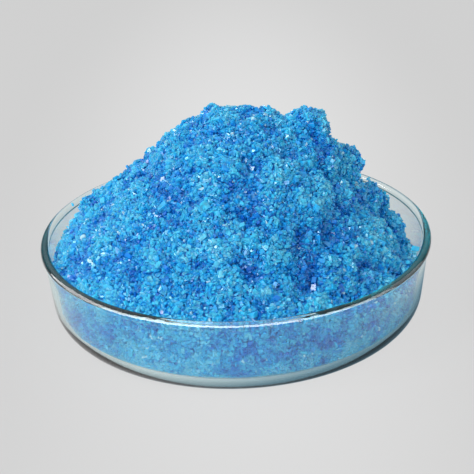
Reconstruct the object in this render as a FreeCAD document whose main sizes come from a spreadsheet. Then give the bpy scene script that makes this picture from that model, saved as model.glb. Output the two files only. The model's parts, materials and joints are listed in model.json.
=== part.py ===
import FreeCAD, Part
import math
import os
import Sketcher

# A shallow round glass dish, heaped with caked blue crystals.
# Frame: origin at the centre of the dish's underside, +Z up, -Y towards the front, millimetres.

doc = FreeCAD.newDocument("crystallizing_dish")
vector = FreeCAD.Vector

# ---------------------------------------------------------------------------
# Driving dimensions
# ---------------------------------------------------------------------------

DIMENSIONS = (
    ("rim_diameter", 100.0),
    ("dish_height", 21.0),
    ("wall_taper", 2.15),
    ("wall_thickness", 1.5),
    ("floor_thickness", 2.0),
    ("heel_radius", 6.5),
    ("inner_heel_radius", 5.0),
    ("bead_diameter", 2.2),
    ("bead_overhang", 0.45),
    ("bead_blend", 0.4),
    ("glass_gap", 0.4),
    ("bed_top", 10.0),
    ("mound_gap", 0.6),
    ("mound_top", 53.0),
    ("mound_foot", 49.4),
    ("mound_power", 1.62),
    ("mound_stretch", 1.13),
    ("mound_foot_shift", -2.0),
    ("mound_top_shift", 2.4),
    ("grain_size", 1.2),
    ("rim_grain_lift", 0.03),
)

sheet = doc.addObject("Spreadsheet::Sheet", "Dims")
for row, (alias, value) in enumerate(DIMENSIONS, start=1):
    sheet.set(f"A{row}", alias)
    sheet.set(f"B{row}", str(value))
    sheet.setAlias(f"B{row}", alias)
doc.recompute()


def size(alias):
    """A driving dimension, in millimetres."""
    return float(getattr(sheet, alias))


# The outer wall leans out from the base to the rim, where a round bead overhangs it. The inner
# wall is parallel to it.
WALL_TOP_RADIUS = "(Dims.rim_diameter / 2 - Dims.bead_overhang)"
BASE_RADIUS = f"({WALL_TOP_RADIUS} - Dims.wall_taper)"
WALL_LEAN = "Dims.wall_taper / Dims.dish_height"


def inner_wall(height, gap="0"):
    """Expression for the inner wall's radius at a height, less a gap."""
    return f"{BASE_RADIUS} - Dims.wall_thickness - {gap} + {WALL_LEAN} * ({height})"


# ---------------------------------------------------------------------------
# Turned pieces: a sketch of the half section, revolved about Z
# ---------------------------------------------------------------------------


def origin_plane(body, role):
    return next(f for f in body.Origin.OriginFeatures if f.Role == role)


def half_section(body, name, corners):
    """A closed sketch on the XZ plane through corners, each a pair of expressions or None for 0."""
    sketch = body.newObject("Sketcher::SketchObject", name)
    sketch.AttachmentSupport = [(origin_plane(body, "XZ_Plane"), "")]
    sketch.MapMode = "FlatFace"
    count = len(corners)
    # rough places on the right side of the axis, which the constraints then move
    rough = [vector(20.0 if x else 0.0, 2.0 * i if z else 0.0, 0) for i, (x, z) in enumerate(corners)]
    for i in range(count):
        sketch.addGeometry(Part.LineSegment(rough[i], rough[(i + 1) % count]), False)
    for i in range(count):
        sketch.addConstraint(Sketcher.Constraint("Coincident", i, 2, (i + 1) % count, 1))
    for i, corner in enumerate(corners):
        for kind, axis, expression in (("DistanceX", -2, corner[0]), ("DistanceY", -1, corner[1])):
            if expression is None:
                sketch.addConstraint(Sketcher.Constraint("PointOnObject", i, 1, axis))
                continue
            index = sketch.addConstraint(Sketcher.Constraint(kind, -1, 1, i, 1, 1.0))
            label = f"{kind}_{i}"
            sketch.renameConstraint(index, label)
            sketch.setExpression(f"Constraints.{label}", expression)
    return sketch


def revolve(body, sketch):
    turned = body.newObject("PartDesign::Revolution", f"{body.Name}_turned")
    turned.Profile = sketch
    turned.ReferenceAxis = (sketch, ["V_Axis"])
    turned.Angle = 360
    doc.recompute()
    return turned


def ring_edge(shape, radius, height):
    """The name of the closed edge round Z at that radius and height."""
    for i, edge in enumerate(shape.Edges, start=1):
        point = edge.Vertexes[0].Point
        away = math.hypot(math.hypot(point.x, point.y) - radius, point.z - height)
        if edge.isClosed() and away < 1e-3:
            return f"Edge{i}"
    raise RuntimeError(f"no round edge of radius {radius} at height {height}")


def round_edge(body, base, name, radius, height, alias):
    """Fillet one ring edge by a driving dimension."""
    fillet = body.newObject("PartDesign::Fillet", name)
    fillet.Base = (base, [ring_edge(base.Shape, radius, height)])
    fillet.setExpression("Radius", f"Dims.{alias}")
    doc.recompute()
    return fillet


def add_bead(body):
    """A round bead of glass along the top of the wall."""
    bead = body.newObject("PartDesign::AdditiveTorus", "rim_bead")
    bead.setExpression("Radius1", "(Dims.rim_diameter - Dims.bead_diameter) / 2")
    bead.setExpression("Radius2", "Dims.bead_diameter / 2")
    bead.setExpression("Placement.Base.z", "Dims.dish_height - Dims.bead_diameter / 2")
    doc.recompute()
    return bead


def bead_seam(wall_radius_at):
    """Radius and height of the ring where the bead meets a face of the wall, found by halving."""
    bead = size("bead_diameter") / 2
    centre_radius = size("rim_diameter") / 2 - bead
    centre_height = size("dish_height") - bead
    low, high = centre_height - 1.5 * bead, centre_height
    for _ in range(60):
        middle = (low + high) / 2
        away = math.hypot(wall_radius_at(middle) - centre_radius, middle - centre_height)
        low, high = (middle, high) if away > bead else (low, middle)
    return wall_radius_at(low), low


def make_glass_dish():
    """One piece of glass: floor, curved heel, flared wall and beaded rim."""
    body = doc.addObject("PartDesign::Body", "glass_dish")
    wall_top = "Dims.dish_height - Dims.bead_diameter / 2"
    sketch = half_section(body, "dish_section", (
        (None, None),
        (BASE_RADIUS, None),
        (f"{BASE_RADIUS} + {WALL_LEAN} * ({wall_top})", wall_top),
        (inner_wall(wall_top), wall_top),
        (inner_wall("Dims.floor_thickness"), "Dims.floor_thickness"),
        (None, "Dims.floor_thickness"),
    ))
    feature = revolve(body, sketch)
    base = size("rim_diameter") / 2 - size("bead_overhang") - size("wall_taper")
    lean = size("wall_taper") / size("dish_height")
    floor = size("floor_thickness")
    inner_base = base - size("wall_thickness")
    feature = round_edge(body, feature, "outer_heel", base, 0.0, "heel_radius")
    feature = round_edge(body, feature, "inner_heel", inner_base + lean * floor, floor, "inner_heel_radius")
    feature = add_bead(body)
    for name, foot in (("bead_outside", base), ("bead_inside", inner_base)):
        seam = bead_seam(lambda height, foot=foot: foot + lean * height)
        feature = round_edge(body, feature, name, *seam, "bead_blend")
    return body


def make_crystal_bed():
    """The loose crystals that fill the dish, a gap clear of the glass all round."""
    body = doc.addObject("PartDesign::Body", "crystal_bed")
    bottom = "Dims.floor_thickness + Dims.glass_gap"
    sketch = half_section(body, "bed_section", (
        (None, bottom),
        (inner_wall(bottom, "Dims.glass_gap"), bottom),
        (inner_wall("Dims.bed_top", "Dims.glass_gap"), "Dims.bed_top"),
        (None, "Dims.bed_top"),
    ))
    feature = revolve(body, sketch)
    low = size("floor_thickness") + size("glass_gap")
    lean = size("wall_taper") / size("dish_height")
    radius = size("rim_diameter") / 2 - size("bead_overhang") - size("wall_taper") - size("wall_thickness")
    radius += lean * low - size("glass_gap")
    round_edge(body, feature, "bed_heel", radius, low, "inner_heel_radius")
    return body


# ---------------------------------------------------------------------------
# The heap: level rings lofted into a mound, kept inside the wall
# ---------------------------------------------------------------------------

# Heights of the rings, as parts of the way from the bed to the mound's top.
RING_FRACTIONS = (0.0, 0.12, 0.26, 0.42, 0.58, 0.72, 0.84, 0.93, 0.985)


def make_ring(index, fraction):
    """A level ellipse, longer front to back, on a heap that steepens from its top to its foot."""
    half_width = f"Dims.mound_foot * pow({1 - fraction:.3f}; 1 / Dims.mound_power)"
    across = f"Dims.mound_foot_shift + {fraction} * (Dims.mound_top_shift - Dims.mound_foot_shift)"
    ring = doc.addObject("Part::Ellipse", f"mound_ring_{index}")
    ring.setExpression("MinorRadius", half_width)
    ring.setExpression("MajorRadius", f"{half_width} * Dims.mound_stretch")
    ring.Placement = FreeCAD.Placement(vector(0, 0, 0), FreeCAD.Rotation(vector(0, 0, 1), 90))
    ring.setExpression("Placement.Base.x", across)
    ring.setExpression("Placement.Base.z", f"Dims.bed_top + {fraction} * (Dims.mound_top - Dims.bed_top)")
    return ring


def make_crystal_mound():
    """The heap of loose crystals above the bed, cut off clear of the wall and the bead."""
    heap = doc.addObject("Part::Loft", "mound_heap")
    heap.Sections = [make_ring(i, fraction) for i, fraction in enumerate(RING_FRACTIONS)]
    heap.Solid = True
    inside = doc.addObject("Part::Cone", "mound_limit")
    inside.setExpression("Radius1", inner_wall("Dims.bed_top", "Dims.mound_gap"))
    inside.setExpression("Radius2", inner_wall("Dims.mound_top", "Dims.mound_gap"))
    inside.setExpression("Height", "Dims.mound_top - Dims.bed_top")
    inside.setExpression("Placement.Base.z", "Dims.bed_top")
    mound = doc.addObject("Part::Common", "crystal_mound")
    mound.Base = heap
    mound.Tool = inside
    return mound


# ---------------------------------------------------------------------------
# Caked lumps on the heap
# ---------------------------------------------------------------------------

# Each lump: name, centre, half sizes across, front to back and up, and its turn about Z.
LUMPS = (
    ("peak_lump_left", (-3.9, 3.0, 50.6), (3.9, 4.4, 3.6), 10),
    ("peak_lump_middle", (5.7, 3.0, 48.9), (5.8, 5.0, 5.0), 0),
    ("peak_lump_right", (18.7, 2.0, 46.6), (5.6, 6.5, 5.8), -10),
    ("peak_lump_right_low", (20.4, -3.0, 41.0), (6.6, 7.0, 6.4), -20),
    ("crown_lump_left", (-9.5, 3.0, 45.8), (5.0, 6.0, 4.4), 15),
    ("shoulder_lump_right", (26.6, 4.0, 34.8), (6.6, 7.5, 6.4), -25),
    ("shoulder_lump_left", (-24.2, 8.0, 31.4), (7.0, 7.5, 5.6), 30),
    ("flank_lump_right", (34.0, 3.0, 25.0), (5.5, 9.0, 5.0), -15),
    ("foot_lump_right", (38.2, 2.0, 17.5), (5.6, 10.0, 4.8), -5),
    ("flank_lump_left", (-33.6, 4.0, 24.4), (6.4, 10.0, 4.8), 12),
)


def make_lump(name, centre, half_sizes, turn, cutters):
    """A rounded lump that sits on the heap: an ellipsoid less whatever it rests on."""
    across, deep, up = half_sizes
    whole = doc.addObject("Part::Ellipsoid", f"{name}_whole")
    whole.Radius1 = up
    whole.Radius2 = across
    whole.Radius3 = deep
    whole.Placement = FreeCAD.Placement(vector(*centre), FreeCAD.Rotation(vector(0, 0, 1), turn))
    lump = whole
    for i, cutter in enumerate(cutters):
        last = i == len(cutters) - 1
        cut = doc.addObject("Part::Cut", name if last else f"{name}_cut_{i}")
        cut.Base = lump
        cut.Tool = cutter
        lump = cut
    return whole, lump


def make_lumps(mound):
    lumps = []
    earlier = []
    for name, centre, half_sizes, turn in LUMPS:
        whole, lump = make_lump(name, centre, half_sizes, turn, [*earlier, mound])
        earlier.append(whole)
        lumps.append(lump)
    return lumps


# ---------------------------------------------------------------------------
# Single crystals that cling to the glass
# ---------------------------------------------------------------------------

# A grain's length, width and height as parts of its size.
GRAIN_SHAPE = (1.0, 0.8, 0.7)

# Each grain on the rim: its bearing from +X, its size as a part of the grain size, and its turn.
RIM_GRAINS = (
    (-20.0, 1.35, 25),
    (-29.0, 0.8, 60),
    (157.0, 0.6, 10),
    (38.0, 0.7, 40),
)


def make_rim_grains():
    """Small blocks that rest on top of the rim, each a separate solid in one group."""
    rest_radius = (size("rim_diameter") - size("bead_diameter")) / 2
    grains = []
    for i, (bearing, scale, turn) in enumerate(RIM_GRAINS):
        length, width = (size("grain_size") * scale * part for part in GRAIN_SHAPE[:2])
        grain = doc.addObject("Part::Box", f"rim_grain_{i}")
        for side, part in zip(("Length", "Width", "Height"), GRAIN_SHAPE):
            grain.setExpression(side, f"Dims.grain_size * {scale} * {part}")
        angle = math.radians(bearing)
        spot = vector(rest_radius * math.cos(angle), rest_radius * math.sin(angle), 0)
        spin = FreeCAD.Rotation(vector(0, 0, 1), turn)
        corner = spot - spin.multVec(vector(length / 2, width / 2, 0))
        grain.Placement = FreeCAD.Placement(corner, spin)
        grain.setExpression("Placement.Base.z", "Dims.dish_height + Dims.rim_grain_lift")
        grains.append(grain)
    group = doc.addObject("Part::Compound", "rim_grains")
    group.Links = grains
    return group


# ---------------------------------------------------------------------------
# Build, check and write
# ---------------------------------------------------------------------------


def check(pieces):
    failed = [o.Name for o in doc.Objects if {"Invalid", "Error"} & set(o.State)]
    if failed:
        raise RuntimeError(f"objects that failed to recompute: {failed}")
    for piece in pieces:
        if piece.Shape.isNull() or not piece.Shape.isValid() or not piece.Shape.Solids:
            raise RuntimeError(f"{piece.Label} has no valid solid")


def write(pieces):
    os.makedirs("parts", exist_ok=True)
    for piece in pieces:
        piece.Shape.exportStep(f"parts/{piece.Label}.step")
        print(piece.Label, len(piece.Shape.Solids), "solids", round(piece.Shape.Volume, 1), "mm3")


glass_dish = make_glass_dish()
crystal_bed = make_crystal_bed()
crystal_mound = make_crystal_mound()
pieces = [glass_dish, crystal_bed, crystal_mound, *make_lumps(crystal_mound), make_rim_grains()]
doc.recompute()
check(pieces)
write(pieces)
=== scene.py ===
import json
import math

import bmesh
import bpy
import numpy as np
from mathutils import Matrix, Vector, noise
from mathutils.bvhtree import BVHTree

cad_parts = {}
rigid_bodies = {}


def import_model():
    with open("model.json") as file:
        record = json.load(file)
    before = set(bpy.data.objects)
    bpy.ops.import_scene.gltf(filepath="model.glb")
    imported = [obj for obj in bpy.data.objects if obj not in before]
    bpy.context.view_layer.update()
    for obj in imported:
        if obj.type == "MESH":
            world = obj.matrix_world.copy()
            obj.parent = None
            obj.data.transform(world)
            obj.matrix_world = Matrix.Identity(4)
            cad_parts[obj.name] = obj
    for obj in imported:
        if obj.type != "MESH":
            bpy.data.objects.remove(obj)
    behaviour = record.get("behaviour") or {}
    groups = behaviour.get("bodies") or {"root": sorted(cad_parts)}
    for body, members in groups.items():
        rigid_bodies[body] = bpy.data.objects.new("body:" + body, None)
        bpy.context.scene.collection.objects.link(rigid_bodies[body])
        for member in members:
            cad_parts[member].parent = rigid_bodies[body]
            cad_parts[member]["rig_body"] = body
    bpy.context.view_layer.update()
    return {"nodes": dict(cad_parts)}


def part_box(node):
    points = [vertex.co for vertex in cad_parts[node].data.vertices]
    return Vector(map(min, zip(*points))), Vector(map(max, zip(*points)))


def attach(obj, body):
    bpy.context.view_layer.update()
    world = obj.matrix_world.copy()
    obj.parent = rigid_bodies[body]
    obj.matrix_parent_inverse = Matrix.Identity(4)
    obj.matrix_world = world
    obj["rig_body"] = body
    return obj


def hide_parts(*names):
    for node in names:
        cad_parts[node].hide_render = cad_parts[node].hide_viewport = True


# A shallow glass dish heaped with caked blue crystals. Everything is in metres, in the CAD frame.

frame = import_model()
MM = 0.001
SEED = 20

# ---------------------------------------------------------------------------
# Sizes, from the frame where it says them
# ---------------------------------------------------------------------------

DISH_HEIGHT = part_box("glass_dish")[1].z
RIM_RADIUS = 50.0 * MM
BEAD = 1.1 * MM
BEAD_OVERHANG = 0.45 * MM
WALL_TAPER = 2.15 * MM
WALL = 1.5 * MM
FLOOR = 2.0 * MM
HEEL = 6.5 * MM
INNER_HEEL = 5.0 * MM
BEAD_FILLET = 0.1 * MM
DISH_SEGMENTS = 256
DISH_LONGEST_SIDE = 3.0 * MM

# The crystals: their usual size, how far apart they are scattered, how near they come to the glass,
# how much their sizes vary, and how deep they may sit below the heap's skin, in grain sizes.
GRAIN = 0.80 * MM
GRAIN_SPACING = 0.51 * MM
GLASS_CLEARANCE = 0.12 * MM
GRAIN_SIZE_SPREAD = 0.28
GRAIN_DEPTHS = (-0.15, 0.8)
CORE_DEPTH = 0.9 * GRAIN

# A crystal's proportions for a size of one, and how its corners are broken off.
CRYSTAL_SHAPES = 24
CRYSTAL_LENGTH = 1.25
CRYSTAL_WIDTHS = (0.6, 0.9)
CRYSTAL_HEIGHTS = (0.4, 0.7)
CRYSTAL_SKEW = 0.3
BROKEN_SHARE = 0.4
BROKEN_LENGTHS = (0.4, 1.0)
CORNER_JITTER = 0.02

# Clumps of caked grains: how far apart they are, how wide and how proud.
CLUMPS = (
    (6.5 * MM, 5.0 * MM, 1.8 * MM),
    (3.0 * MM, 2.3 * MM, 1.1 * MM),
)
CLUMP_SIZES = (0.65, 1.35)

# How far the skin sinks under the clumps, so that their heads end near the CAD's surface, and how
# finely it is remeshed.
CLUMP_SINK = 2.8 * MM
SKIN_VOXEL = 0.7 * MM

# How strongly the smoothest flank is clumped, and how far off the glass the clumps start and are full.
SMOOTHEST = 0.3
CLUMPS_START = 1.2 * MM
CLUMPS_FULL = 3.2 * MM

# What makes a crystal paler: painted light where it sits against the glass, a slow drift over the
# heap, and chance.
PAINTED_LIGHT_AT_GLASS = 0.25
PALE_REACH = 2.0 * MM
PALE_DRIFT = 0.35
PALE_DRIFT_LENGTH = 6 * MM
PALE_CHANCE = 0.28

# Strays on the rim: how far apart two of them are at least, how high one is for its size, and
# their place in the list of tints.
STRAY_REACH = 3 * MM
STRAY_HEIGHT = 0.7
STRAY_TINT = 2

CHARGE_NODES = [name for name in frame["nodes"] if frame["nodes"][name]["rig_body"] == "charge"]
# How many pieces round the axis the big nodes' grains are shared between.
SECTORS = {"crystal_bed": 6, "crystal_mound": 8}


def add_object(name, data):
    """A new object in the scene, holding a mesh, a light or a camera."""
    item = bpy.data.objects.new(name, data)
    bpy.context.scene.collection.objects.link(item)
    return item


def outer_wall(height):
    """Radius of the wall's outer face at a height, on a number or an array."""
    return RIM_RADIUS - BEAD_OVERHANG - WALL_TAPER * (1 - height / DISH_HEIGHT)


def inner_wall(height):
    """Radius of the wall's inner face at a height, on a number or an array."""
    return outer_wall(height) - WALL


def inner_limit(heights):
    """Radius of the dish's inside at an array of heights, with the bead along the rim."""
    bead_rise = heights - (DISH_HEIGHT - BEAD)
    bead_half = np.sqrt(np.clip(BEAD**2 - bead_rise**2, 0, None))
    return np.minimum(inner_wall(heights), RIM_RADIUS - BEAD - bead_half)


# ---------------------------------------------------------------------------
# Materials
# ---------------------------------------------------------------------------


def principled(name, color, **values):
    """A material of one Principled shader with plain values on its own sockets."""
    material = bpy.data.materials.new(name)
    material.use_nodes = True
    shader = material.node_tree.nodes["Principled BSDF"]
    shader.inputs["Base Color"].default_value = (*color, 1.0)
    for socket, value in values.items():
        shader.inputs[socket.replace("_", " ")].default_value = value
    return material


def glass_material():
    """Soda-lime glass: clear across the wall, green where light runs a long way through it."""
    material = principled(
        "soda_lime_glass", (1.0, 1.0, 1.0),
        Roughness=0.0, IOR=1.52, Transmission_Weight=1.0,
    )
    nodes = material.node_tree.nodes
    absorb = nodes.new("ShaderNodeVolumeAbsorption")
    absorb.inputs["Color"].default_value = (0.14, 0.80, 0.83, 1.0)
    absorb.inputs["Density"].default_value = 70.0
    material.node_tree.links.new(absorb.outputs["Volume"], nodes["Material Output"].inputs["Volume"])
    return material


# Tints of single crystals, from a white one that paints glints to deep ones that the creases mostly
# get as painted shade, with each one's share.
CRYSTAL_TINTS = (
    # The first, white tint is a painted glint, given to a few crystals at random.
    ("crystal_painted_glint", (0.40, 0.80, 1.0), 0.008),
    ("crystal_pale", (0.115, 0.60, 0.92), 0.10),
    ("crystal_cyan", (0.042, 0.51, 0.89), 0.24),
    ("crystal_sky", (0.023, 0.41, 0.84), 0.28),
    ("crystal_blue", (0.013, 0.31, 0.79), 0.24),
    ("crystal_deep", (0.009, 0.21, 0.69), 0.11),
    ("crystal_ink", (0.006, 0.14, 0.58), 0.03),
)


def crystal_materials():
    """One glossy material for each tint, with a little light scattered under its surface."""
    return [
        principled(
            name, color,
            Roughness=0.07, IOR=1.53,
            Subsurface_Weight=0.5, Subsurface_Scale=0.002, Subsurface_Radius=(0.7, 0.9, 1.0),
        )
        for name, color, _ in CRYSTAL_TINTS
    ]


def core_material():
    """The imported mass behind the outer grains: deep blue, mottled at the scale of a grain."""
    material = principled("crystal_core", (0.01, 0.12, 0.42), Roughness=0.45)
    nodes, links = material.node_tree.nodes, material.node_tree.links
    place = nodes.new("ShaderNodeTexCoord")
    cells = nodes.new("ShaderNodeTexVoronoi")
    cells.inputs["Scale"].default_value = 1 / GRAIN
    tones = nodes.new("ShaderNodeValToRGB")
    tones.color_ramp.elements[0].color = (0.01, 0.14, 0.52, 1.0)
    tones.color_ramp.elements[1].color = (0.04, 0.38, 0.85, 1.0)
    bump = nodes.new("ShaderNodeBump")
    bump.inputs["Strength"].default_value = 0.6
    bump.inputs["Distance"].default_value = 0.3 * MM
    shader = nodes["Principled BSDF"]
    links.new(place.outputs["Object"], cells.inputs["Vector"])
    links.new(cells.outputs["Color"], tones.inputs["Fac"])
    links.new(tones.outputs["Color"], shader.inputs["Base Color"])
    links.new(cells.outputs["Distance"], bump.inputs["Height"])
    links.new(bump.outputs["Normal"], shader.inputs["Normal"])
    return material


# ---------------------------------------------------------------------------
# The glass dish
# ---------------------------------------------------------------------------


def rounded_outline(corners, steps=14):
    """Points along straight sides whose corners, given as (radius, height, rounding), are arcs."""
    points = []
    for i, (x, z, rounding) in enumerate(corners):
        here = Vector((x, z))
        if rounding == 0:
            points.append(here)
            continue
        before = Vector(corners[i - 1][:2]) - here
        after = Vector(corners[(i + 1) % len(corners)][:2]) - here
        before.normalize()
        after.normalize()
        half = before.angle(after) / 2
        centre = here + (before + after).normalized() * rounding / math.sin(half)
        start = here + before * rounding / math.tan(half) - centre
        end = here + after * rounding / math.tan(half) - centre
        turn = start.angle_signed(end)
        for k in range(steps + 1):
            spoke = start.copy()
            spoke.rotate(Matrix.Rotation(-turn * k / steps, 2))
            points.append(centre + spoke)
    return points


def split_long_sides(points, longest):
    """The same outline with extra points, so that no side is longer than longest."""
    out = [points[0]]
    for a, b in zip(points, points[1:]):
        parts = max(1, math.ceil((b - a).length / longest))
        out += [a.lerp(b, k / parts) for k in range(1, parts + 1)]
    return out


def lathe(name, outline, segments):
    """A closed solid of revolution about Z from an outline that starts and ends on the axis."""
    ring = outline[1:-1]
    angles = [2 * math.pi * k / segments for k in range(segments)]
    verts = [(p.x * math.cos(a), p.x * math.sin(a), p.y) for p in ring for a in angles]
    first, last = len(verts), len(verts) + 1
    verts += [(0, 0, outline[0].y), (0, 0, outline[-1].y)]
    faces = []
    for j in range(len(ring) - 1):
        for k in range(segments):
            n = (k + 1) % segments
            lower, upper = j * segments, (j + 1) * segments
            faces.append((lower + k, lower + n, upper + n, upper + k))
    top = (len(ring) - 1) * segments
    for k in range(segments):
        n = (k + 1) % segments
        faces.append((first, n, k))
        faces.append((last, top + k, top + n))
    mesh = bpy.data.meshes.new(name)
    mesh.from_pydata(verts, [], faces)
    mesh.shade_smooth()
    return add_object(name, mesh)


def bead_points(steps=40):
    """The bead's round outline, from its outer foot over the top to its inner foot."""
    centre = Vector((RIM_RADIUS - BEAD, DISH_HEIGHT - BEAD))
    points = []
    for k in range(steps + 1):
        angle = math.radians(-75) + math.radians(330) * k / steps
        point = centre + BEAD * Vector((math.cos(angle), math.sin(angle)))
        in_wall = inner_wall(point.y) < point.x < outer_wall(point.y)
        if point.y > centre.y or not in_wall:
            points.append(point)
    return points


def make_dish():
    """The dish as one lathed piece: base, heel, wall and bead outside, then the same inside."""
    bead = bead_points()
    outer_foot = bead[0].y - BEAD_FILLET
    inner_foot = bead[-1].y - BEAD_FILLET
    corners = (
        (0, 0, 0),
        (outer_wall(0), 0, HEEL),
        (outer_wall(outer_foot), outer_foot, BEAD_FILLET),
        *((point.x, point.y, 0) for point in bead),
        (inner_wall(inner_foot), inner_foot, BEAD_FILLET),
        (inner_wall(FLOOR), FLOOR, INNER_HEEL),
        (0, FLOOR, 0),
    )
    outline = split_long_sides(rounded_outline(corners), DISH_LONGEST_SIDE)
    dish = lathe("dish_glass", outline, DISH_SEGMENTS)
    dish.data.materials.append(glass_material())
    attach(dish, "dish")
    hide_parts("glass_dish")
    return dish


# ---------------------------------------------------------------------------
# The heap's surface: the CAD solids joined, remeshed and given caked lumps
# ---------------------------------------------------------------------------


def joined_charge():
    """One closed skin round all the CAD solids of the charge."""
    copies = []
    for name in CHARGE_NODES:
        copy = frame["nodes"][name].copy()
        copy.data = copy.data.copy()
        copy.parent = None
        # Without the frame's own properties the copy isn't taken for a CAD node.
        for key in list(copy.keys()):
            del copy[key]
        bpy.context.scene.collection.objects.link(copy)
        copies.append(copy)
    bpy.ops.object.select_all(action="DESELECT")
    for copy in copies:
        copy.select_set(True)
    bpy.context.view_layer.objects.active = copies[0]
    bpy.ops.object.join()
    skin = bpy.context.view_layer.objects.active
    remesh = skin.modifiers.new("remesh", "REMESH")
    remesh.mode = "VOXEL"
    remesh.voxel_size = SKIN_VOXEL
    bpy.ops.object.modifier_apply(modifier="remesh")
    return skin


def vertex_arrays(mesh):
    """A mesh's vertices and their normals, as arrays with a row for each."""
    count = len(mesh.vertices)
    places = np.empty(count * 3)
    normals = np.empty(count * 3)
    mesh.vertices.foreach_get("co", places)
    mesh.vertices.foreach_get("normal", normals)
    return places.reshape(-1, 3), normals.reshape(-1, 3)


def scatter_on(mesh, spacing, rng):
    """Random spots on a mesh, one for about every spacing squared of area.

    Each spot is its triangle's three vertices and their shares, so anything known at the
    vertices can be read there with at_spots.
    """
    mesh.calc_loop_triangles()
    count = len(mesh.loop_triangles)
    corners = np.empty(count * 3, np.int32)
    mesh.loop_triangles.foreach_get("vertices", corners)
    corners = corners.reshape(-1, 3)
    places, _ = vertex_arrays(mesh)
    a, b, c = (places[corners[:, i]] for i in range(3))
    areas = np.linalg.norm(np.cross(b - a, c - a), axis=1) / 2
    wanted = int(areas.sum() / spacing**2)
    chosen = rng.choice(count, wanted, p=areas / areas.sum())
    u, v = rng.random(wanted), rng.random(wanted)
    fold = u + v > 1
    u[fold], v[fold] = 1 - u[fold], 1 - v[fold]
    return corners[chosen], np.stack([1 - u - v, u, v], axis=1)


def at_spots(values, spots):
    """The values known at a mesh's vertices, blended at each spot."""
    corners, shares = spots
    return np.einsum("nk,nk...->n...", shares, values[corners])


def glass_overlap(points):
    """How far points pass the clear limit inside the glass, and the way back in."""
    radius = np.hypot(points[..., 0], points[..., 1])
    height = points[..., 2]
    outward = np.zeros_like(points)
    outward[..., :2] = points[..., :2] / np.maximum(radius, 1e-9)[..., None]
    up = np.zeros_like(points)
    up[..., 2] = 1.0
    wall = radius - (inner_limit(height) - GLASS_CLEARANCE)
    floor = FLOOR + GLASS_CLEARANCE - height
    heel_radius = inner_wall(FLOOR) - INNER_HEEL
    heel_height = FLOOR + INNER_HEEL
    past = np.maximum(radius - heel_radius, 0)
    below = np.maximum(heel_height - height, 0)
    reach = np.hypot(past, below)
    heel = np.where((past > 0) & (below > 0), reach - (INNER_HEEL - GLASS_CLEARANCE), -1.0)
    safe = np.maximum(reach, 1e-9)[..., None]
    heel_way = -(outward * past[..., None] - up * below[..., None]) / safe
    depth = np.maximum(np.maximum(wall, floor), heel)
    way = np.where((floor >= depth)[..., None], up, heel_way)
    way = np.where((wall >= depth)[..., None], -outward, way)
    return depth, way


def ramp(values, start, full):
    """0 up to start, 1 from full on, and rising evenly in between."""
    return np.clip((values - start) / (full - start), 0, 1)


def clump_lift(points, seeds, radii, heights):
    """Rounded heads round the seeds with creases between them, as caked crystals have."""
    lift = np.zeros(len(points))
    for seed, radius, height in zip(seeds, radii, heights):
        near = np.abs(points - seed).max(axis=1) < radius
        square = ((points[near] - seed) ** 2).sum(axis=1) / radius**2
        lift[near] = np.maximum(lift[near], height * np.sqrt(np.clip(1 - square, 0, 1)))
    return lift


def roughness_of_heap(points):
    """How strongly the heap is clumped: weakly down the left flank in front, fully elsewhere."""
    across = ramp(points[:, 0], -34 * MM, 6 * MM)
    behind = ramp(points[:, 1], -4 * MM, 6 * MM)
    upward = ramp(points[:, 2], 30 * MM, 45 * MM)
    return SMOOTHEST + (1 - SMOOTHEST) * np.maximum.reduce([across, behind, upward])


def shape_heap(skin, rng):
    """Give the heap's free surface its caked clumps; it stays as it is along the glass.

    Returns how proud each vertex is, from 0 in the creases to 1 on the heads.
    """
    places, normals = vertex_arrays(skin.data)
    depth, _ = glass_overlap(places)
    free = ramp(-depth, CLUMPS_START, CLUMPS_FULL)
    proud = np.zeros(len(places))
    strength = free * roughness_of_heap(places)
    for spacing, radius, height in CLUMPS:
        seeds = at_spots(places, scatter_on(skin.data, spacing, rng))
        sizes = rng.uniform(*CLUMP_SIZES, len(seeds))
        lift = clump_lift(places, seeds, radius * sizes, height * sizes)
        proud += lift / height / len(CLUMPS)
        places += normals * (strength * lift)[:, None]
    places -= normals * (strength * CLUMP_SINK)[:, None]
    skin.data.vertices.foreach_set("co", places.ravel())
    skin.data.update()
    return proud


# ---------------------------------------------------------------------------
# Crystals
# ---------------------------------------------------------------------------


def crystal_shape(rng):
    """A skewed block with some corners broken off, about one unit across."""
    width = rng.uniform(*CRYSTAL_WIDTHS)
    height = rng.uniform(*CRYSTAL_HEIGHTS)
    sides = np.array([CRYSTAL_LENGTH, width, height]) / 2
    skew = np.eye(3)
    skew[0, 1], skew[0, 2], skew[1, 2] = rng.uniform(-CRYSTAL_SKEW, CRYSTAL_SKEW, 3)
    points = []
    for corner in np.ndindex(2, 2, 2):
        sign = np.array(corner) * 2 - 1
        if rng.random() < BROKEN_SHARE:
            cut = rng.uniform(*BROKEN_LENGTHS, 3)
            for axis in range(3):
                shortened = np.where(np.arange(3) == axis, 1 - cut[axis], 1)
                points.append(sign * sides * shortened)
        else:
            points.append(sign * sides)
    form = bmesh.new()
    for point in points:
        form.verts.new(skew @ point + rng.normal(0, CORNER_JITTER, 3))
    bmesh.ops.convex_hull(form, input=form.verts)
    loose = [v for v in form.verts if not v.link_faces]
    bmesh.ops.delete(form, geom=loose, context="VERTS")
    bmesh.ops.triangulate(form, faces=form.faces)
    bmesh.ops.recalc_face_normals(form, faces=form.faces)
    form.verts.index_update()
    verts = np.array([v.co[:] for v in form.verts])
    faces = np.array([[v.index for v in f.verts] for f in form.faces])
    form.free()
    return verts, faces


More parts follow.
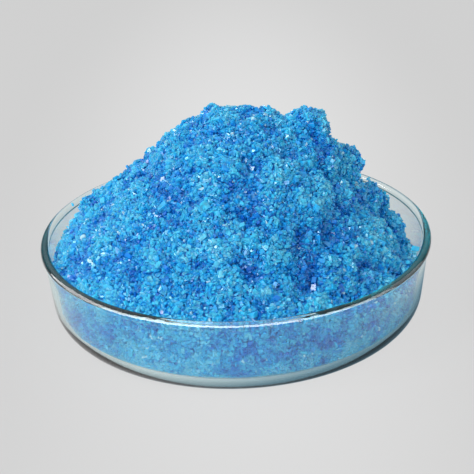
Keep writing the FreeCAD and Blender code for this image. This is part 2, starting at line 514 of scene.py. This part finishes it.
def random_turns(count, rng):
    """Uniformly random rotation matrices."""
    q = rng.normal(size=(count, 4))
    q /= np.linalg.norm(q, axis=1)[:, None]
    w, x, y, z = q.T
    return np.stack([
        1 - 2 * (y * y + z * z), 2 * (x * y - z * w), 2 * (x * z + y * w),
        2 * (x * y + z * w), 1 - 2 * (x * x + z * z), 2 * (y * z - x * w),
        2 * (x * z - y * w), 2 * (y * z + x * w), 1 - 2 * (x * x + y * y),
    ], axis=1).reshape(-1, 3, 3)


def triangle_piece(name, verts, faces):
    """A new object from arrays of places and of triangles."""
    mesh = bpy.data.meshes.new(name)
    mesh.vertices.add(len(verts))
    mesh.vertices.foreach_set("co", verts.astype(np.float32).ravel())
    mesh.loops.add(faces.size)
    mesh.loops.foreach_set("vertex_index", faces.astype(np.int32).ravel())
    mesh.polygons.add(len(faces))
    mesh.polygons.foreach_set("loop_start", np.arange(0, faces.size, 3, dtype=np.int32))
    mesh.update(calc_edges=True)
    mesh.shade_flat()
    return add_object(name, mesh)


def crystal_mesh(name, places, sizes, tints, shapes, materials, rng):
    """One mesh of many crystals, each clear of the glass and in one tint."""
    kinds = rng.integers(0, len(shapes), len(places))
    all_verts, all_faces, all_tints = [], [], []
    offset = 0
    for kind, (verts, faces) in enumerate(shapes):
        mine = np.flatnonzero(kinds == kind)
        turned = np.einsum("nij,kj->nki", random_turns(len(mine), rng), verts)
        solid = places[mine][:, None, :] + turned * sizes[mine][:, None, None]
        # A few moves bring even a crystal that meets wall and floor at once clear of both.
        for _ in range(3):
            depth, way = glass_overlap(solid)
            worst = depth.argmax(axis=1)
            rows = np.arange(len(mine))
            move = np.maximum(depth[rows, worst], 0)[:, None] * way[rows, worst]
            solid += move[:, None, :]
        all_verts.append(solid.reshape(-1, 3))
        starts = offset + np.arange(len(mine)) * len(verts)
        all_faces.append((faces[None] + starts[:, None, None]).reshape(-1, 3))
        all_tints.append(np.repeat(tints[mine], len(faces)))
        offset += len(mine) * len(verts)
    piece = triangle_piece(name, np.concatenate(all_verts), np.concatenate(all_faces))
    for material in materials:
        piece.data.materials.append(material)
    piece.data.polygons.foreach_set("material_index", np.concatenate(all_tints).astype(np.int32))
    return piece


def pick_tints(painted_light_and_tone, rng):
    """A tint for each crystal: the paler tints go where more light is painted, with much chance in it.
    """
    shares = np.cumsum([share for _, _, share in CRYSTAL_TINTS[1:]])
    order = np.argsort(np.argsort(-painted_light_and_tone)) / len(painted_light_and_tone)
    tints = 1 + np.searchsorted(shares / shares[-1], order)
    # A few crystals at random take the white tint, as painted glints.
    tints[rng.random(len(tints)) < CRYSTAL_TINTS[0][2]] = 0
    return np.clip(tints, 0, len(CRYSTAL_TINTS) - 1)


def nearest_nodes(points):
    """For each point, which of the charge's CAD nodes it is nearest to."""
    verts, faces, owners = [], [], []
    for i, name in enumerate(CHARGE_NODES):
        mesh = frame["nodes"][name].data
        faces += [[len(verts) + v for v in p.vertices] for p in mesh.polygons]
        owners += [i] * len(mesh.polygons)
        verts += [v.co for v in mesh.vertices]
    tree = BVHTree.FromPolygons(verts, faces)
    return np.array([owners[tree.find_nearest(p)[2]] for p in points.tolist()])


def drifting_shade(points):
    """A slow change of tint over the heap, some millimetres across."""
    return np.array([
        noise.fractal(Vector(p) / PALE_DRIFT_LENGTH, 1.0, 2.0, 2) for p in points.tolist()
    ])


def make_core(skin):
    """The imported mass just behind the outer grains."""
    places, normals = vertex_arrays(skin.data)
    skin.name = "crystal_core"
    skin.data.name = "crystal_core"
    skin.data.vertices.foreach_set("co", (places - normals * CORE_DEPTH).ravel())
    skin.data.materials.clear()
    skin.data.materials.append(core_material())
    skin.data.shade_smooth()
    skin.data.update()
    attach(skin, "charge")


def make_charge():
    """The heap's crystals, in one piece for each CAD node or sector of one, and its core.

    Returns the shapes and materials, which the strays on the rim share.
    """
    rng = np.random.default_rng(SEED)
    skin = joined_charge()
    proud = shape_heap(skin, rng)
    spots = scatter_on(skin.data, GRAIN_SPACING, rng)
    places, normals = vertex_arrays(skin.data)
    points = at_spots(places, spots)
    facing = at_spots(normals, spots)
    facing /= np.linalg.norm(facing, axis=1)[:, None]
    count = len(points)
    depth, _ = glass_overlap(points)
    # Painted light and shade: crystals on the clumps' heads and against the glass get paler tints,
    # those in the creases deeper ones.
    against_glass = ramp(depth, -PALE_REACH, 0)
    painted_light_and_tone = at_spots(proud, spots) + PAINTED_LIGHT_AT_GLASS * against_glass
    painted_light_and_tone += PALE_DRIFT * drifting_shade(points) + rng.normal(0, PALE_CHANCE, count)
    points -= facing * rng.uniform(*GRAIN_DEPTHS, count)[:, None] * GRAIN
    sizes = GRAIN * rng.lognormal(0.0, GRAIN_SIZE_SPREAD, count)
    tints = pick_tints(painted_light_and_tone, rng)
    owners = nearest_nodes(points)
    shapes = [crystal_shape(rng) for _ in range(CRYSTAL_SHAPES)]
    materials = crystal_materials()
    bearing = (np.arctan2(points[:, 1], points[:, 0]) / math.pi + 1) / 2
    for i, node in enumerate(CHARGE_NODES):
        sectors = SECTORS.get(node, 1)
        sector = np.clip(np.floor(bearing * sectors), 0, sectors - 1)
        for part in range(sectors):
            chosen = np.flatnonzero((owners == i) & (sector == part))
            name = f"grains_{node}_{part}" if sectors > 1 else f"grains_{node}"
            piece = crystal_mesh(
                name, points[chosen], sizes[chosen], tints[chosen], shapes, materials, rng,
            )
            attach(piece, "charge")
            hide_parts(node)
    make_core(skin)
    return shapes, materials


def make_rim_grains(shapes, materials):
    """The stray crystals on the rim, where the CAD has them."""
    rng = np.random.default_rng(SEED + 1)
    mesh = frame["nodes"]["rim_grains"].data
    spots = np.array([v.co[:] for v in mesh.vertices])
    groups = []
    for spot in spots:
        for group in groups:
            if np.linalg.norm(group[0] - spot) < STRAY_REACH:
                group.append(spot)
                break
        else:
            groups.append([spot])
    low = np.array([np.min(group, axis=0) for group in groups])
    high = np.array([np.max(group, axis=0) for group in groups])
    places = (low + high) / 2
    sizes = (high - low)[:, 2] / STRAY_HEIGHT
    tints = np.full(len(places), STRAY_TINT)
    piece = crystal_mesh("rim_crystals", places, sizes, tints, shapes, materials, rng)
    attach(piece, "dish")
    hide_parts("rim_grains")


# ---------------------------------------------------------------------------
# Floor, light and camera
# ---------------------------------------------------------------------------


# Half the floor's side, and how far it lies under the dish, so that no two faces coincide.
FLOOR_HALF = 4.0
FLOOR_DROP = 0.2 * MM

# The floor's halo: its middle and its half sizes, in metres.
HALO_MIDDLE = (0.004, 0.075)
HALO_SIZES = (0.085, 0.33)

# How brightly the floor glows at the picture's edge, round the dish, in its shade, and far off as
# the glass sees it, with the distances that the far floor starts and is full at.
FLOOR_EDGE = 0.585
FLOOR_MIDDLE = 0.72
FLOOR_SHADE = (0.15, 0.26, 0.33)
FLOOR_FAR = (0.07, 0.15, 0.16)
FAR_START = 0.32
FAR_FULL = 0.9

# The shade under the dish: its middle, and the radii that it fades between. Through the glass it
# looks wider than beside it.
SEEN_SHADE = ((0.0, 0.0), 40.5 * MM, 43.5 * MM)
GLASS_SHADE = ((9.0 * MM, 2.0 * MM), 44.0 * MM, 54.0 * MM)

# How bright the dome is along the horizon, low in front, overhead on either side, and behind the
# floor's far edge.
DOME_HORIZON = (0.04, 0.14, 0.16)
DOME_FRONT = 1.4
DOME_LEFT = 1.1
DOME_RIGHT = 0.55
BACKDROP = 0.62

# The two softboxes: where each is, its width and height, and its power.
SOFTBOX_TARGET = (0, 0, 0.02)
SOFTBOXES = (
    ("key_softbox", (-0.50, -0.25, 0.70), 0.25, 0.25, 2.1),
    ("fill_softbox", (-0.52, -0.8, 0.35), 0.7, 0.4, 2.9),
)

# The arc of panels that draws the lip's white line: how many, over what angle, how far off, how low,
# how high, how bright in the middle, and how much of that is lost by each end of the arc.
LIP_PANELS = 8
LIP_ARC = math.radians(240)
LIP_LIGHT_RADIUS = 0.5
LIP_LIGHT_LOW = 0.0
LIP_LIGHT_HIGH = 0.45
LIP_LIGHT_GLOW = 13.0
LIP_FADE_LEFT = 0.55
LIP_FADE_RIGHT = 1.0


def map_range(nodes, links, value, low, high):
    """A node output that goes from 0 to 1 as a value goes from low to high."""
    node = nodes.new("ShaderNodeMapRange")
    node.inputs["From Min"].default_value = low
    node.inputs["From Max"].default_value = high
    links.new(value, node.inputs["Value"])
    return node.outputs["Result"]


def mix_color(nodes, links, factor, first, second):
    """A blend of two colors, each an output, a plain color or a grey value.

    The Mix node names its sockets alike for every data type, so the color ones go by number.
    """
    node = nodes.new("ShaderNodeMix")
    node.data_type = "RGBA"
    links.new(factor, node.inputs["Factor"])
    for socket, source in ((node.inputs[6], first), (node.inputs[7], second)):
        if isinstance(source, float):
            socket.default_value = (source, source, source, 1.0)
        elif isinstance(source, tuple):
            socket.default_value = (*source, 1.0)
        else:
            links.new(source, socket)
    return node.outputs[2]


def seen_directly(nodes):
    """A node output that is 1 where the camera looks straight at a thing and 0 through glass."""
    return nodes.new("ShaderNodeLightPath").outputs["Is Camera Ray"]


def stretched(nodes, links, middle, sizes):
    """A node output with the place on the floor, measured from a middle in parts of two sizes."""
    place = nodes.new("ShaderNodeTexCoord")
    mapping = nodes.new("ShaderNodeMapping")
    mapping.inputs["Location"].default_value = (-middle[0] / sizes[0], -middle[1] / sizes[1], 0.0)
    mapping.inputs["Scale"].default_value = (1 / sizes[0], 1 / sizes[1], 1.0)
    links.new(place.outputs["Object"], mapping.inputs["Vector"])
    return mapping.outputs["Vector"]


def distance_from(nodes, links, middle):
    """A node output with the distance from a spot on the floor, in metres."""
    length = nodes.new("ShaderNodeVectorMath")
    length.operation = "LENGTH"
    links.new(stretched(nodes, links, middle, (1.0, 1.0)), length.inputs[0])
    return length.outputs["Value"]


def shade_edge(nodes, links, shade):
    """A node output that is 0 in a shade and 1 outside it."""
    middle, inner, outer = shade
    return map_range(nodes, links, distance_from(nodes, links, middle), inner, outer)


def floor_material():
    """A pale glowing floor with a soft halo, the dish's shade, and a dim far end for the glass."""
    material = principled("pale_floor", (0.05, 0.05, 0.05), Roughness=0.8, Specular_IOR_Level=0.0)
    nodes, links = material.node_tree.nodes, material.node_tree.links
    shader = nodes["Principled BSDF"]
    halo = nodes.new("ShaderNodeTexGradient")
    halo.gradient_type = "SPHERICAL"
    soft = nodes.new("ShaderNodeMapRange")
    soft.interpolation_type = "SMOOTHSTEP"
    links.new(stretched(nodes, links, HALO_MIDDLE, HALO_SIZES), halo.inputs["Vector"])
    links.new(halo.outputs["Fac"], soft.inputs["Value"])
    direct = seen_directly(nodes)
    glow = mix_color(nodes, links, soft.outputs["Result"], FLOOR_EDGE, FLOOR_MIDDLE)
    far = mix_color(nodes, links, direct, FLOOR_FAR, FLOOR_EDGE)
    away = distance_from(nodes, links, (0.0, 0.0))
    glow = mix_color(nodes, links, map_range(nodes, links, away, FAR_START, FAR_FULL), glow, far)
    beside = mix_color(nodes, links, shade_edge(nodes, links, SEEN_SHADE), FLOOR_SHADE, glow)
    through = mix_color(nodes, links, shade_edge(nodes, links, GLASS_SHADE), FLOOR_SHADE, glow)
    glow = mix_color(nodes, links, direct, through, beside)
    links.new(glow, shader.inputs["Emission Color"])
    shader.inputs["Emission Strength"].default_value = 1.0
    return material


def make_floor():
    """A large square just under the dish."""
    signs = ((-1, -1), (1, -1), (1, 1), (-1, 1))
    mesh = bpy.data.meshes.new("floor")
    mesh.from_pydata([(x * FLOOR_HALF, y * FLOOR_HALF, 0) for x, y in signs], [], [(0, 1, 2, 3)])
    mesh.materials.append(floor_material())
    floor = add_object("floor", mesh)
    floor.location.z = -FLOOR_DROP


def add_softbox(name, place, target, width, height, power):
    """A plain white panel of light, not seen by the camera itself."""
    light = bpy.data.lights.new(name, "AREA")
    light.shape = "RECTANGLE"
    light.size = width
    light.size_y = height
    light.energy = power
    lamp = add_object(name, light)
    lamp.location = place
    lamp.rotation_euler = (Vector(target) - Vector(place)).to_track_quat("-Z", "Y").to_euler()
    lamp.visible_camera = False
    return lamp


def make_lip_lights(dish):
    """Panels in an arc round the front, that only draw the white line along the dish's lip."""
    glass_only = bpy.data.collections.new("lip_light_receivers")
    glass_only.objects.link(dish)
    step = LIP_ARC / LIP_PANELS
    width = 2 * LIP_LIGHT_RADIUS * math.tan(step / 2)
    height = LIP_LIGHT_HIGH - LIP_LIGHT_LOW
    middle = Vector((0, 0, (LIP_LIGHT_LOW + LIP_LIGHT_HIGH) / 2))
    for k in range(LIP_PANELS):
        aside = (k + 0.5) * step - LIP_ARC / 2
        spot = LIP_LIGHT_RADIUS * Vector((math.sin(aside), -math.cos(aside), 0))
        fade = LIP_FADE_LEFT if aside < 0 else LIP_FADE_RIGHT
        glow = LIP_LIGHT_GLOW * (1 - fade * abs(aside) / (LIP_ARC / 2))
        power = math.pi * width * height * glow
        lamp = add_softbox(f"lip_panel_{k}", spot + middle, middle, width, height, power)
        lamp.visible_diffuse = False
        lamp.visible_transmission = False
        lamp.light_linking.receiver_collection = glass_only


def make_lights(dish):
    """A pale dome, dim along the horizon and to the right, and the softboxes and lip panels."""
    world = bpy.data.worlds.new("studio")
    world.use_nodes = True
    nodes, links = world.node_tree.nodes, world.node_tree.links
    direction = nodes.new("ShaderNodeTexCoord")
    split = nodes.new("ShaderNodeSeparateXYZ")
    links.new(direction.outputs["Generated"], split.inputs["Vector"])
    upward = map_range(nodes, links, split.outputs["Z"], 0.10, 0.60)
    side = map_range(nodes, links, split.outputs["X"], -0.6, 0.6)
    front = map_range(nodes, links, split.outputs["Y"], 0.0, -0.8)
    low = mix_color(nodes, links, front, DOME_HORIZON, DOME_FRONT)
    top = mix_color(nodes, links, side, DOME_LEFT, DOME_RIGHT)
    dome = mix_color(nodes, links, upward, low, top)
    dome = mix_color(nodes, links, seen_directly(nodes), dome, BACKDROP)
    links.new(dome, nodes["Background"].inputs["Color"])
    bpy.context.scene.world = world
    for name, place, width, height, power in SOFTBOXES:
        add_softbox(name, place, SOFTBOX_TARGET, width, height, power)
    make_lip_lights(dish)


def make_camera():
    """A long lens a little above the rim, turned slightly about its own axis."""
    elevation = math.radians(25.22)
    roll = math.radians(2.0)
    distance = 0.3394
    target = Vector((0, 0, DISH_HEIGHT))
    back = Vector((0, -math.cos(elevation), math.sin(elevation)))
    camera = bpy.data.cameras.new("camera")
    camera.sensor_width = 36.0
    camera.lens = 100.03
    camera.shift_x = 0.0033
    camera.shift_y = -0.0166
    viewer = add_object("camera", camera)
    turn = back.to_track_quat("Z", "Y").to_matrix() @ Matrix.Rotation(-roll, 3, "Z")
    viewer.matrix_world = Matrix.Translation(target + back * distance) @ turn.to_4x4()
    bpy.context.scene.camera = viewer


glass_dish = make_dish()
grain_shapes, grain_materials = make_charge()
make_rim_grains(grain_shapes, grain_materials)
make_floor()
make_lights(glass_dish)
make_camera()

scene = bpy.context.scene
scene.view_settings.view_transform = "Standard"
scene.cycles.use_denoising = True
scene.cycles.max_bounces = 24
scene.cycles.transmission_bounces = 24
scene.cycles.glossy_bounces = 24
scene.cycles.diffuse_bounces = 6
